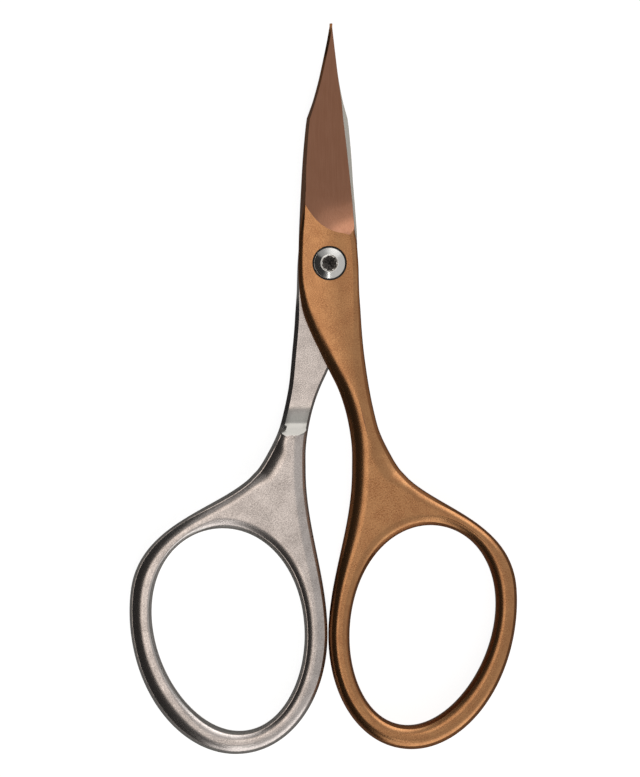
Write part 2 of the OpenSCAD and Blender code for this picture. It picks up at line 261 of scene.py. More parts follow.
def weld(obj: bpy.types.Object) -> None:
    """Merges doubles, closes what is open at the ends and turns all faces outwards.

    Args:
        obj: The object to finish.
    """
    edit(obj)
    bpy.ops.mesh.select_all(action="SELECT")
    bpy.ops.mesh.remove_doubles(threshold=MERGE_MM * MM)
    bpy.ops.mesh.dissolve_degenerate(threshold=MERGE_MM * MM)
    for _ in range(FILL_ROUNDS):
        bpy.ops.mesh.select_all(action="DESELECT")
        bpy.ops.mesh.select_non_manifold(extend=False, use_wire=True, use_boundary=True,
                                         use_multi_face=False, use_non_contiguous=False,
                                         use_verts=False)
        bpy.ops.mesh.fill_holes(sides=0)
    bpy.ops.mesh.select_all(action="SELECT")
    bpy.ops.mesh.normals_make_consistent(inside=False)
    leave_edit()


def smooth(obj: bpy.types.Object, degrees: float = SMOOTH_DEGREES) -> None:
    """Shades an object smooth, with crisp edges where it bends by more than an angle.

    Args:
        obj: The object to shade.
        degrees: The angle.
    """
    make_active(obj)
    bpy.ops.object.shade_smooth_by_angle(angle=math.radians(degrees), keep_sharp_edges=True)


def drill(obj: bpy.types.Object, radius: float, low: float, high: float,
          vertices: int = 128) -> None:
    """Drills a round hole along the pivot's axis.

    Args:
        obj: The object that is drilled.
        radius: The hole's radius in millimetres.
        low: The level where the drill begins.
        high: The level where it ends.
        vertices: Sides of the hole's wall.
    """
    deselect_all()
    bpy.ops.mesh.primitive_cylinder_add(vertices=vertices, radius=radius * MM,
                                        depth=(high - low) * MM,
                                        location=(0, 0, (low + high) / 2 * MM))
    cutter = bpy.context.object
    make_active(obj)
    cut = obj.modifiers.new("drill", "BOOLEAN")
    cut.operation, cut.solver, cut.object = "DIFFERENCE", "EXACT", cutter
    bpy.ops.object.modifier_apply(modifier=cut.name)
    bpy.data.objects.remove(cutter)


# ---------------------------------------------------------------- finishes


def linear(hex_code: str) -> tuple[float, float, float, float]:
    """Turns an sRGB hex value into the linear colour that a shader takes.

    Args:
        hex_code: Six hex digits.

    Returns:
        Red, green, blue and an alpha of one.
    """
    parts = [int(hex_code[i:i + 2], 16) / 255 for i in (0, 2, 4)]
    lin = [c / 12.92 if c <= 0.04045 else ((c + 0.055) / 1.055) ** 2.4 for c in parts]
    return (*lin, 1.0)


def add_node(tree: bpy.types.NodeTree, kind: str, values: dict | None = None,
             links: dict | None = None, **settings) -> bpy.types.Node:
    """Adds one node with its settings, socket values and incoming links.

    Args:
        tree: The node tree.
        kind: The node's type.
        values: Socket values by name or number.
        links: Output sockets by the input's name or number.
        **settings: The node's own properties.

    Returns:
        The new node.
    """
    node = tree.nodes.new(kind)
    for name, value in settings.items():
        setattr(node, name, value)
    for name, value in (values or {}).items():
        node.inputs[name].default_value = value
    for name, socket in (links or {}).items():
        tree.links.new(socket, node.inputs[name])
    return node


def fresh_tree(owner: bpy.types.Material | bpy.types.World) -> bpy.types.NodeTree:
    """Turns on the nodes of a material or world and clears them.

    Args:
        owner: The material or world.

    Returns:
        Its empty node tree.
    """
    owner.use_nodes = True
    owner.node_tree.nodes.clear()
    return owner.node_tree


class Grain(Enum):
    """How a metal surface was worked: pitted by beads, or lined by a belt or a wheel."""

    BLASTED = "blasted"
    GROUND = "ground"


@dataclass(frozen=True)
class MetalFinish:
    """A worked metal surface, with its grain drawn by nodes.

    The pits of a fine bead blast are about 0.1 mm wide. A belted or ground surface has lines
    instead. calm_y names the heights between which a blasted surface calms into a belted one, and
    those between which the belted tone ends.
    """

    name: str
    grain: Grain
    base: str
    shade: str
    roughness: float
    rough_spread: float = 0.04
    grain_mm: float = 0.12
    bump_mm: float = 0.002
    cloud_mm: float = 2.0
    cloud_share: float = 0.15
    fleck_span: tuple[float, float] = (0.32, 0.68)
    cloud_span: tuple[float, float] = (0.35, 0.65)
    line_turn: float = 0.0
    line_stretch: float = 40.0
    calm_y: tuple[float, float, float, float] | None = None
    calm_bump: float = 0.1
    calm_roughness: float = 0.22
    calm_shade: str = "FFFFFF"

    def lines(self, tree: bpy.types.NodeTree, place: bpy.types.NodeSocket) -> bpy.types.NodeSocket:
        """Draws fine grinding lines, stretched along the grinding direction.

        Args:
            tree: The node tree.
            place: The Object coordinates.

        Returns:
            The lines' height.
        """
        across, along = 1 / (self.grain_mm * MM), 1 / (self.line_stretch * self.grain_mm * MM)
        turned_place = add_node(tree, "ShaderNodeMapping",
                                {"Rotation": (0, 0, math.radians(self.line_turn)),
                                 "Scale": (across, along, across)}, {"Vector": place})
        return add_node(tree, "ShaderNodeTexNoise", {"Scale": 1.0, "Detail": 3.0},
                        {"Vector": turned_place.outputs[0]}).outputs["Fac"]

    def pits(self, tree: bpy.types.NodeTree, place: bpy.types.NodeSocket) -> bpy.types.NodeSocket:
        """Draws the pits of a bead blast.

        Args:
            tree: The node tree.
            place: The Object coordinates.

        Returns:
            The pits' height.
        """
        return add_node(tree, "ShaderNodeTexNoise",
                        {"Scale": 1 / (self.grain_mm * MM), "Detail": 2.0, "Roughness": 0.7},
                        {"Vector": place}).outputs["Fac"]

    def amount(self, tree: bpy.types.NodeTree, place: bpy.types.NodeSocket,
               height: bpy.types.NodeSocket) -> bpy.types.NodeSocket:
        """Adds wide faint clouds to the grain.

        Args:
            tree: The node tree.
            place: The Object coordinates.
            height: The grain's height.

        Returns:
            How much of the base colour shows, from zero to one.
        """
        clouds = add_node(tree, "ShaderNodeTexNoise",
                          {"Scale": 1 / (self.cloud_mm * MM), "Detail": 1.0}, {"Vector": place})
        low, high = self.fleck_span
        speckle = add_node(tree, "ShaderNodeMapRange", {"From Min": low, "From Max": high},
                           {"Value": height})
        low, high = self.cloud_span
        drift = add_node(tree, "ShaderNodeMapRange",
                         {"From Min": low, "From Max": high, "To Min": -self.cloud_share,
                          "To Max": self.cloud_share}, {"Value": clouds.outputs["Fac"]})
        return add_node(tree, "ShaderNodeMath", {}, {0: speckle.outputs[0], 1: drift.outputs[0]},
                        operation="ADD", use_clamp=True).outputs[0]

    def calmed(self, tree: bpy.types.NodeTree, place: bpy.types.NodeSocket,
               colour: bpy.types.NodeSocket, rough: bpy.types.NodeSocket,
               bump: bpy.types.Node) -> tuple[bpy.types.NodeSocket, bpy.types.NodeSocket]:
        """Lets the blasted surface run out into a belted one between the heights of calm_y.

        Args:
            tree: The node tree.
            place: The Object coordinates.
            colour: The blasted surface's colour.
            rough: Its roughness.
            bump: Its bump node, whose depth is lowered here.

        Returns:
            The colour and the roughness of both together.
        """
        axes = add_node(tree, "ShaderNodeSeparateXYZ", {}, {0: place})
        calm, belted = (add_node(tree, "ShaderNodeMapRange",
                                 {"From Min": start * MM, "From Max": end * MM},
                                 {"Value": axes.outputs["Y"]}, interpolation_type="SMOOTHSTEP")
                        for start, end in (self.calm_y[:2], self.calm_y[2:]))
        shaded = add_node(tree, "ShaderNodeMath", {}, {0: calm.outputs[0], 1: belted.outputs[0]},
                          operation="MULTIPLY")
        toned = add_node(tree, "ShaderNodeMix", {7: linear(self.calm_shade)},
                         {0: shaded.outputs[0], 6: colour}, data_type="RGBA")
        mixed = add_node(tree, "ShaderNodeMix", {3: self.calm_roughness},
                         {0: calm.outputs[0], 2: rough}, data_type="FLOAT")
        depth = add_node(tree, "ShaderNodeMapRange",
                         {"To Min": self.bump_mm * MM,
                          "To Max": self.calm_bump * self.bump_mm * MM},
                         {"Value": calm.outputs[0]})
        tree.links.new(depth.outputs[0], bump.inputs["Distance"])
        return toned.outputs[2], mixed.outputs[0]

    def build(self) -> bpy.types.Material:
        """Makes the material.

        Returns:
            The material, which reads Object coordinates.
        """
        mat = bpy.data.materials.new(self.name)
        tree = fresh_tree(mat)
        place = add_node(tree, "ShaderNodeTexCoord").outputs["Object"]
        height = (self.pits if self.grain is Grain.BLASTED else self.lines)(tree, place)
        amount = self.amount(tree, place, height)
        colour = add_node(tree, "ShaderNodeMix", {6: linear(self.shade), 7: linear(self.base)},
                          {0: amount}, data_type="RGBA").outputs[2]
        rough = add_node(tree, "ShaderNodeMapRange",
                         {"To Min": self.roughness + self.rough_spread,
                          "To Max": self.roughness - self.rough_spread},
                         {"Value": amount}).outputs[0]
        bump = add_node(tree, "ShaderNodeBump", {"Distance": self.bump_mm * MM}, {"Height": height})
        if self.calm_y:
            colour, rough = self.calmed(tree, place, colour, rough, bump)
        shader = add_node(tree, "ShaderNodeBsdfPrincipled", {"Metallic": 1.0},
                          {"Base Color": colour, "Roughness": rough, "Normal": bump.outputs[0]})
        add_node(tree, "ShaderNodeOutputMaterial", {}, {0: shader.outputs[0]})
        return mat


@dataclass(frozen=True)
class PolymerFinish:
    """A black slide polymer (POM), moulded, with the faint cloudiness of a moulded skin; where it
    rims the screw head, its black also stands in for the shade in the gap there.
    """

    name: str
    base: str
    shade: str
    roughness: float
    rough_spread: float = 0.08
    cloud_mm: float = 0.5
    bump_mm: float = 0.004
    bump_strength: float = 0.4
    ior: float = 1.48

    def build(self) -> bpy.types.Material:
        """Makes the material.

        Returns:
            The material, which reads Object coordinates.
        """
        mat = bpy.data.materials.new(self.name)
        tree = fresh_tree(mat)
        place = add_node(tree, "ShaderNodeTexCoord").outputs["Object"]
        clouds = add_node(tree, "ShaderNodeTexNoise",
                          {"Scale": 1 / (self.cloud_mm * MM), "Detail": 3.0},
                          {"Vector": place}).outputs["Fac"]
        colour = add_node(tree, "ShaderNodeMix", {6: linear(self.shade), 7: linear(self.base)},
                          {0: clouds}, data_type="RGBA")
        rough = add_node(tree, "ShaderNodeMapRange",
                         {"To Min": self.roughness - self.rough_spread,
                          "To Max": self.roughness + self.rough_spread}, {"Value": clouds})
        bump = add_node(tree, "ShaderNodeBump",
                        {"Strength": self.bump_strength, "Distance": self.bump_mm * MM},
                        {"Height": clouds})
        shader = add_node(tree, "ShaderNodeBsdfPrincipled", {"IOR": self.ior},
                          {"Base Color": colour.outputs[2], "Roughness": rough.outputs[0],
                           "Normal": bump.outputs[0]})
        add_node(tree, "ShaderNodeOutputMaterial", {}, {0: shader.outputs[0]})
        return mat


# On the ramp: heights between which the blasting calms, and between which the belted tone ends
RAMP_CALM_Y = (-16.6, -19.4, -21.5, -21.0)

# Stainless steel with a copper-coloured hard coat (titanium-aluminium nitride), bead blasted:
# satin, warm, with a fine sparkle
BLASTED_COPPER = MetalFinish("bead_blasted_copper_coat", Grain.BLASTED, "C99566", "A4704B", 0.26)
# The same coat where the forging rides on the other half: blasted, and belted along its ramp
RIDING_COPPER = MetalFinish("riding_face_copper_coat", Grain.BLASTED, "C99566", "A4704B", 0.26,
                            calm_y=RAMP_CALM_Y, calm_shade="92674C")
# The same coat on the side bands, which were belted before coating: slicker, less sparkle
BELTED_COPPER = MetalFinish("belted_copper_coat", Grain.GROUND, "AB744C", "9C6843", 0.26,
                            bump_mm=0.001)
# The same coat over the ground and polished blade face: slick, with faint grinding lines
POLISHED_COPPER = MetalFinish("polished_copper_coat", Grain.GROUND, "A0725A", "986A52", 0.19,
                              rough_spread=0.02, bump_mm=0.0004, line_turn=-8.0)
# Bare martensitic stainless steel, bead blasted: satin grey with a fine sparkle
BLASTED_STEEL = MetalFinish("bead_blasted_stainless", Grain.BLASTED, "E4DAD4", "ACA39E", 0.26)
# The steel where the forging rides on the other half: blasted, and belted along its ramp
RIDING_STEEL = MetalFinish("riding_face_stainless", Grain.BLASTED, "E4DAD4", "ACA39E", 0.26,
                           calm_y=RAMP_CALM_Y, calm_shade="A8A59F")
# The steel's side bands, belted
BELTED_STEEL = MetalFinish("belted_stainless", Grain.GROUND, "C9C5C1", "BCB8B4", 0.26,
                           bump_mm=0.001)
# The steel's ground blade face, polished
POLISHED_STEEL = MetalFinish("polished_stainless", Grain.GROUND, "A9A8A2", "A1A09A", 0.2,
                             rough_spread=0.02, bump_mm=0.0004, line_turn=-8.0)
# The screw, turned from bright stainless steel and polished
TURNED_STEEL = MetalFinish("turned_stainless", Grain.GROUND, "E8E6E2", "DEDCD7", 0.17,
                           rough_spread=0.03, bump_mm=0.0002)
# The screw's recess, pressed and rough, its dark colour painted shade for the hollow
RECESS_SHADE_STEEL = MetalFinish("recess_stainless_painted_shade", Grain.BLASTED, "6E6964", "2A2725", 0.5,
                            grain_mm=0.25, bump_mm=0.02)
# Slide polymer (POM), moulded, black; its black rim also stands in for the shade in the gap round
# the screw head
BLACK_POM_GAP_SHADE = PolymerFinish("black_pom_gap_shade", "0B0909", "050404", 0.42)


# ---------------------------------------------------------------- the edge's cross-section


def unit(v: np.ndarray) -> np.ndarray:
    """The same direction at length one."""
    return v / np.linalg.norm(v)


@dataclass(frozen=True)
class EdgeProfile:
    """Cross-section of an edge: an upright rim, a slanted band, a narrow ledge and a shoulder."""

    half_t: float = 1.7
    rim_h: float = 0.98
    band_w: float = 0.5
    crown_w: float = 1.0
    crease_h: float = 1.43
    split_h: float = 0.05
    soft_rim: float = 0.2
    ledge_w: float = 0.07
    ledge_rise: float = 0.01
    spine_slant: float = 0.38
    wide_share: float = 0.8
    wide_drop: float = 0.3
    crown_steps: int = 9
    soft_steps: int = 4

    @property
    def depth(self) -> float:
        """Depth from the outline to the flat."""
        return self.band_w + self.crown_w

    def softened(self, before: np.ndarray, corner: np.ndarray, after: np.ndarray,
                 reach: float) -> list[np.ndarray]:
        """Rounds a corner with a small curve.

        Args:
            before: The point before the corner.
            corner: The corner.
            after: The point after it.
            reach: How far along each side the curve begins.

        Returns:
            The curve's points.
        """
        start, end = corner + unit(before - corner) * reach, corner + unit(after - corner) * reach
        steps = np.linspace(0, 1, self.soft_steps + 1)[:, None]
        return list(start * (1 - steps) ** 2 + 2 * corner * steps * (1 - steps) + end * steps ** 2)

    def path(self) -> np.ndarray:
        """Points from the side of the rim up to the flat.

        Returns:
            Depth from the outline and height above the middle, one row for each point.
        """
        wall, rim = np.array([0.0, self.split_h]), np.array([0.0, self.rim_h])
        crease = np.array([self.band_w, self.crease_h])
        ledge = crease - np.array([self.ledge_w, self.ledge_rise])
        rise = self.half_t - self.crease_h
        crown = [crease + np.array([self.crown_w * t, rise * (1 - (1 - t) ** 2)])
                 for t in np.linspace(0, 1, self.crown_steps + 1)]
        return np.array([wall, *self.softened(wall, rim, ledge, self.soft_rim), ledge, *crown])

    def widened(self, path: np.ndarray, amount: float) -> np.ndarray:
        """The path with a wider and deeper shoulder, as the forgings have it on their webs.

        Args:
            path: The plain path.
            amount: How far it is widened, from zero to one.

        Returns:
            The widened path.
        """
        depth, height = path[:, 0], path[:, 1]
        inner = np.clip((depth - self.band_w) / self.crown_w, 0.0, 1.0)
        drop = self.wide_drop * (1 - inner) ** 2 * np.minimum(1.0, height / self.rim_h)
        return np.stack([depth + self.crown_w * self.wide_share * amount * inner,
                         height - drop * amount], axis=1)


# ---------------------------------------------------------------- one half of the scissors


def turned(v: np.ndarray, degrees: float) -> np.ndarray:
    """A plan vector turned to the left."""
    a = math.radians(degrees)
    return np.array([v[0] * math.cos(a) - v[1] * math.sin(a),
                     v[0] * math.sin(a) + v[1] * math.cos(a)])


def eased(value: float, low: float, high: float) -> float:
    """A smooth step from zero at low to one at high."""
    t = min(1.0, max(0.0, (value - low) / (high - low)))
    return t * t * (3 - 2 * t)


def eased_sum(value: float, low: float, high: float) -> float:
    """The area under that smooth step, from far below up to a value."""
    t = min(1.0, max(0.0, (value - low) / (high - low)))
    return (high - low) * (t ** 3 - t ** 4 / 2) + max(0.0, value - high)


def spread(start: float, end: float, count: int) -> list[float]:
    """Even steps from a start, which is left out, to an end."""
    return [start + (end - start) * i / count for i in range(1, count + 1)]


@dataclass(frozen=True)
class EdgeSpot:
    """A place on a ring's edge, with the way into the metal and how the section fits there."""

    point: np.ndarray
    way: np.ndarray
    fit: float
    wide: float


@dataclass(frozen=True)
class Ring:
    """One finger ring: its outside and its finger hole."""

    y: float
    a: float
    b: float
    lean: float
    hole_a: float
    hole_b: float
    hole_lean: float
    hole_in: float
    gap: float = 0.1
    hole_drop: float = 0.95
    hole_egg: float = 0.08
    fullness: float = 2.02

    def middle(self) -> np.ndarray:
        """The ring's middle in plan.

        Returns:
            Its place from the mirror line and the pivot.
        """
        lean = math.radians(self.lean)
        reach = math.hypot(self.b * math.cos(lean), self.a * math.sin(lean))
        return np.array([self.gap / 2 + reach, -self.y])

    def fuller(self, v: float) -> float:
        """Pushes a circle's sine or cosine outwards, for an outline fuller than an ellipse."""
        return math.copysign(abs(v) ** (2 / self.fullness), v)

    def outside(self, turn: float) -> np.ndarray:
        """A point of the outside.

        Args:
            turn: Its turn around the middle, in degrees.

        Returns:
            The point in plan.
        """
        t = math.radians(turn)
        return self.middle() + turned(
            np.array([self.b * self.fuller(math.cos(t)), self.a * self.fuller(math.sin(t))]),
            -self.lean)

    def hole(self, turn: float) -> np.ndarray:
        """A point of the finger hole.

        Args:
            turn: Its turn around the middle, in degrees.

        Returns:
            The point in plan.
        """
        t = math.radians(turn)
        wide = self.hole_b * (1 + self.hole_egg * math.sin(t))
        return self.middle() - np.array([self.hole_in, self.hole_drop]) + turned(
            np.array([wide * self.fuller(math.cos(t)), self.hole_a * self.fuller(math.sin(t))]),
            -self.hole_lean)


@dataclass
class Half:
    """One forged half, modelled in its own place: middle plane at zero, riding side down."""

    name: str
    node: str
    body: str
    slot: str
    ring: Ring
    finishes: tuple[MetalFinish, ...]
    lean: float
    trim: float
    lower: bool
    # Thickness, the play between the riding faces, and the pivot's offset
    half_t: float = 1.7
    ride_z: float = 0.02
    pivot_off: float = 0.2
    # Lengths from the pivot, and the ground blade face
    blade_len: float = 29.6
    point_tip: float = 0.05
    shank_len: float = 25.45
    joint_w: float = 7.4
    shoulder_y: float = 17.85
    grind_slope: float = 0.232
    edge_t: float = 0.06
    heel_y: float = 3.62
    heel_rise: float = 4.8
    heel_curve: float = 2.8
    runout_len: float = 6.5
    runout_power: float = 2.3
    # The ramp behind the riding face
    ramp_y: float = 16.6
    ramp_len: float = 4.6
    ramp_even: float = 0.92
    ramp_ease: float = 0.55
    ramp_foot: tuple[float, float] = (0.62, 0.80)
    # The edges, and where each starts and ends
    ledge: float = 0.07
    plate_crown: float = 0.15
    plate_share: float = 0.62
    ride_edge: float = 0.3
    ride_edge_y: tuple[float, float] = (-2.0, 3.0)
    ride_rise: float = 0.37
    ride_fade: tuple[float, float] = (0.98, 1.6)
    ride_outer: float = 0.22
    ride_outer_y: tuple[float, float] = (-7.0, -3.0)
    wide_edge_y: tuple[float, float] = (-23.0, -21.2)
    wide_room: tuple[float, float] = (1.2, 1.8)
    joint_edge: float = 0.5
    joint_edge_y: tuple[tuple[float, float], tuple[float, float]] = ((-8.0, -1.0), (-15.0, -2.0))
    spine_y: tuple[float, float] = (-1.0, 6.0)
    # The ring, its web and how they leave the shank
    foot_slope: float = -0.781
    left_leave: float = 190.0
    right_leave: float = 380.0
    foot_left: float = 130.0
    foot_right: float = 466.0
    left_reach: float = 7.0
    right_ring_reach: float = 8.78
    right_foot_reach: float = 5.98
    foot_turn: float = -52.0
    hole_crowding: float = 1.7
    outside_crowding: float = 0.6
    ring_share: float = 0.47
    limb_share: float = 0.7
    fit_power: int = 8
    outer_lean: float = 0.0
    outer_wide: float = 0.0
    inner_wide: float = 0.0
    inner_wide_y: tuple[float, float] = (-22.0, -9.0)
    honed_line: float = 0.28
    honed_share: float = 0.45
    honed_steps: int = 2
    shank_in: float = 0.0
    shank_in_y: tuple[float, float] = (-16.0, -10.0)
    # How steep a face is that counts as band or ramp, and how near the ground face one lies
    band_steep: float = 0.81
    ramp_steep: float = 0.5
    ramp_side: float = 0.3
    ground_close: float = 0.05
    # Steps of the drawing
    shank_rows: int = 14
    ramp_rows: int = 44
    plate_rows: int = 34
    heel_rows: int = 12
    runout_rows: int = 18
    blade_rows: int = 16
    point_rows: int = 26
    left_steps: int = 30
    ring_steps: int = 150
    right_steps: int = 60
    flat_steps: int = 8

    # Height, spine side and cutting side, as shares of the length and of the joint's width
    body_table: ClassVar[np.ndarray] = np.array([
        [-1.00, 0.400, 1.205], [-0.90, 0.398, 0.996], [-0.81, 0.362, 0.853],
        [-0.71, 0.288, 0.760], [-0.61, 0.172, 0.690], [-0.52, 0.020, 0.640],
        [-0.42, -0.148, 0.594], [-0.32, -0.310, 0.562], [-0.23, -0.422, 0.542],
        [-0.14, -0.471, 0.521], [-0.08, -0.488, 0.515], [0.00, -0.493, 0.506]])
    blade_table: ClassVar[np.ndarray] = np.array([
        [0.16, -0.486, 0.474], [0.21, -0.484, 0.448], [0.29, -0.476, 0.430], [0.44, -0.459, 0.402],
        [0.71, -0.422, 0.334], [0.92, -0.378, 0.277], [1.00, -0.354, 0.253]])
    point_table: ClassVar[np.ndarray] = np.array([
        [0.00, -0.354, 0.253], [0.09, -0.307, 0.236], [0.19, -0.257, 0.216], [0.40, -0.177, 0.156],
        [0.61, -0.114, 0.105], [0.82, -0.056, 0.055], [1.00, -0.016, 0.014]])

    def __post_init__(self) -> None:
        """Works out the outline's tables in millimetres and the edge's cross-section."""
        self.edge = EdgeProfile(half_t=self.half_t, ledge_w=self.ledge)
        self.profile = self.edge.path()
        body = self.body_table * [self.shank_len, self.joint_w, self.joint_w]
        blade = self.blade_table * [self.shoulder_y, self.joint_w, self.joint_w]
        self.low_rows = np.vstack([body, blade])
        self.point_len = self.blade_len - self.shoulder_y
        self.high_rows = self.point_table * [self.point_len, self.joint_w, self.joint_w]
        self.high_rows[:, 0] += self.shoulder_y

    # ---- outline

    def table_slope(self, rows: np.ndarray, i: int, side: int) -> float:
        """The outline's slope at a row of a table.

        Args:
            rows: The table.
            i: The row's number.
            side: 1 is the spine's side and 2 the cutting edge's.

        Returns:
            The change across the blade for each millimetre along it.
        """
        if rows is self.low_rows and i == 0:
            return self.foot_slope if side == 2 else 0.0
        a, b = rows[max(i - 1, 0)], rows[min(i + 1, len(rows) - 1)]
        return (b[side] - a[side]) / (b[0] - a[0])

    def along(self, rows: np.ndarray, y: float, side: int) -> float:
        """The outline's place at a height, on a smooth curve through the rows of a table.

        Args:
            rows: The table.
            y: The height.
            side: 1 is the spine's side and 2 the cutting edge's.

        Returns:
            The place across the blade.
        """
        i = int(min(max(np.searchsorted(rows[:, 0], y, side="right") - 1, 0), len(rows) - 2))
        a, b = rows[i], rows[i + 1]
        h = b[0] - a[0]
        t = (y - a[0]) / h
        return ((2 * t ** 3 - 3 * t ** 2 + 1) * a[side] + (t ** 3 - 2 * t ** 2 + t) * h
                * self.table_slope(rows, i, side) + (3 * t ** 2 - 2 * t ** 3) * b[side]
                + (t ** 3 - t ** 2) * h * self.table_slope(rows, i + 1, side))

    def side_x(self, y: float, side: int) -> float:
        """The outline's place at a height, with the point's lean and the spine's trim.

        Args:
            y: The height.
            side: 1 is the spine's side and 2 the cutting edge's.

        Returns:
            The place across the blade.
        """
        up = max(0.0, (y - self.shoulder_y) / self.point_len)
        trimmed = min(1.0, max(0.0, (y - self.heel_y) / self.runout_len)) * (1 - up)
        rows = self.low_rows if y < self.shoulder_y else self.high_rows
        place = (self.along(rows, y, side) + self.lean * up
                 - self.shank_in * (1 - eased(y, *self.shank_in_y)))
        return place + (self.trim * trimmed if side == 1 else 0.0)

    def side_normal(self, y: float, side: int) -> np.ndarray:
        """The direction into the metal.

        Args:
            y: The height.
            side: 1 is the spine's side and 2 the cutting edge's.

        Returns:
            The direction in plan, at length one.
        """
        if y <= -self.shank_len + SLOPE_STEP:
            slope = self.foot_slope if side == 2 else 0.0
        else:
            low, high = y - SLOPE_STEP, min(y + SLOPE_STEP, self.blade_len)
            slope = (self.side_x(high, side) - self.side_x(low, side)) / (high - y + SLOPE_STEP)
        return unit(np.array([1.0, -slope])) if side == 1 else unit(np.array([-1.0, slope]))

    # ---- surfaces

    def across(self, x: float, y: float) -> tuple[float, float]:
        """The share of the way from spine to edge, and the width, at a place."""
        left, right = self.side_x(y, 1), self.side_x(y, 2)
        return (x - left) / (right - left), right - left

    def flat_drop(self, x: float, y: float) -> float:
        """How far the plate's faint crown lies below its top.

        Args:
            x: The place across the blade.
            y: The place along it.

        Returns:
            The drop.
        """
        s = self.across(x, y)[0]
        over = (eased(y, -self.shank_len, -self.ramp_y)
                * (1 - eased(y, self.shoulder_y, self.blade_len)))
        return self.plate_crown * min(self.plate_share, abs(2 * s - 1)) ** 2 * over

    def ground(self, x: float, y: float) -> float:
        """Height of the ground blade face.

        Args:
            x: The place across the blade.
            y: The place along it.

        Returns:
            The height, or one far above where nothing is ground away.
        """
        if y < self.heel_y:
            return FAR_ABOVE
        s, width = self.across(x, y)
        s = min(1.0, max(0.0, s))
        up = (y - self.heel_y - self.heel_rise * (1 - s) ** self.heel_curve) / self.runout_len
        if up < 0:
            return FAR_ABOVE
        face = self.ride_z + self.edge_t + self.grind_slope * width * (1 - s)
        flat = self.half_t - self.flat_drop(x, y)
        return face + max(0.0, flat - face) * (1 - min(1.0, up)) ** self.runout_power

    def under(self, y: float) -> float:
        """Height of the riding face, and of the ramp behind it.

        Args:
            y: The place along the shank.

        Returns:
            The height above the middle plane.
        """
        down = min(1.0, max(0.0, (-y - self.ramp_y) / self.ramp_len))
        grade, foot = eased_sum(down, 0.0, self.ramp_ease), eased_sum(down, *self.ramp_foot)
        steeper = ((1 - self.ramp_even * eased_sum(1.0, 0.0, self.ramp_ease))
                   / eased_sum(1.0, *self.ramp_foot))
        return self.ride_z - (self.half_t + self.ride_z) * (self.ramp_even * grade + steeper * foot)

    # ---- sections

    def side_path(self, y: float, rise: float, side: int) -> tuple[np.ndarray, np.ndarray]:
        """One side of a row, up to the flat or the ground face and down to the riding face.

        Args:
            y: The row's height at the cutting edge.
            rise: How much higher the row lies at the spine.
            side: 1 is the spine's side and 2 the cutting edge's.

        Returns:
            The points of the upper part and of the lower part, each from the rim inwards.
        """
        top, low = [], []
        start, end = (self.heel_y + place for place in self.spine_y)
        blade = eased(y + rise, start, end) if side == 1 else 0.0
        size = 1 - (1 - self.joint_edge) * eased(y, *self.joint_edge_y[side - 1])
        wide = (self.inner_wide * (1 - eased(y, *self.inner_wide_y)) if side == 1
                else 1 - eased(y, *self.wide_edge_y))
        for full_depth, full_z in self.edge.widened(self.profile, wide):
            depth, z = full_depth * size, self.half_t - (self.half_t - full_z) * size
            for part, sign in ((top, 1), (low, -1)):
                inset = depth
                if sign > 0:
                    inset = depth * (1 - blade) + self.edge.spine_slant * z * blade
                row_y = y + rise if side == 1 else y
                for _ in range(SETTLE_ROUNDS):
                    base = np.array([self.side_x(row_y, side), row_y])
                    spot = base + self.side_normal(row_y, side) * inset
                    share = self.across(spot[0], row_y)[0]
                    lift = rise * (1 - min(1.0, max(0.0, share))) ** self.heel_curve
                    row_y = y + lift
                crown = 1 - self.flat_drop(spot[0], spot[1]) / self.half_t
                part.append(np.array([spot[0], spot[1], z * crown if sign > 0 else -z]))
        foot_y = low[0][1]
        fade = (1 - eased(foot_y, *self.ride_edge_y)) * (
            1 - eased(-self.under(foot_y), *self.ride_fade))
        lift = self.ride_rise * fade
        reach = self.ride_edge * fade
        if side == 2:
            reach += self.ride_outer * fade * (1 - eased(foot_y, *self.ride_outer_y))

        def lifted(p: np.ndarray) -> float:
            """Height where the chamfer of the riding side begins."""
            return self.under(p[1]) + lift

        low_cut = self.cut(low, lifted, -1)
        corner = next((i for i, p in enumerate(low_cut) if p[2] < lifted(p) + HAIR), None)
        if lift > 0 and corner is not None:
            low_cut[corner + 1:, :2] += self.side_normal(foot_y, side) * reach
            low_cut[corner + 1:, 2] -= lift
        top[0][2] = max(top[0][2], low_cut[0][2])
        return self.cut(top, self.ground_at, 1), low_cut

    def ground_at(self, p: np.ndarray) -> float:
        """Height of the ground blade face at a point."""
        return self.ground(p[0], p[1])

    def cut(self, points: list[np.ndarray], level: Level, sign: int) -> np.ndarray:
        """Cuts a side's points off where they pass a surface, and gathers the rest on the cut.

        Args:
            points: The side's points, from the rim inwards.
            level: A function that gives the surface's height at a point.
            sign: 1 for a surface above and -1 for one below.

        Returns:
            The points, where those past the cut lie on it.
        """
        out = [p.copy() for p in points]
        inward = unit((points[-1] - points[0])[:2])
        over = [sign * (p[2] - level(p)) for p in points]
        for k, extra in enumerate(over):
            if extra > 0:
                if k == 0:
                    edge = points[0].copy()
                else:
                    share = -over[k - 1] / (extra - over[k - 1])
                    edge = points[k - 1] * (1 - share) + points[k] * share
                edge[2] = level(edge)
                for j in range(k, len(out)):
                    out[j] = edge.copy()
                if sign > 0 and k > 1:
                    self.hone(out, k, edge, inward, level)
                break
        return np.array(out)

    def hone(self, out: list[np.ndarray], k: int, edge: np.ndarray, inward: np.ndarray,
             level: Level) -> None:
        """Rounds the edge between a side and the ground face with a narrow line.

        Args:
            out: The side's points, changed in place.
            k: The number of the first point on the edge.
            edge: The edge's point.
            inward: The direction away from the outline, in plan.
            level: A function that gives the ground face's height at a point.
        """
        back = out[k - 1] - edge
        reach = min(self.honed_line, self.honed_share * np.linalg.norm(back))
        before = edge + unit(back) * reach
        after = edge + np.array([*inward, 0.0]) * reach
        after[2] = level(after)
        last = len(out) - 1
        for j in range(k, last + 1):
            t = min(1.0, (j - k) / min(self.honed_steps, max(1, last - k)))
            out[j] = before * (1 - t) ** 2 + 2 * edge * t * (1 - t) + after * t * t

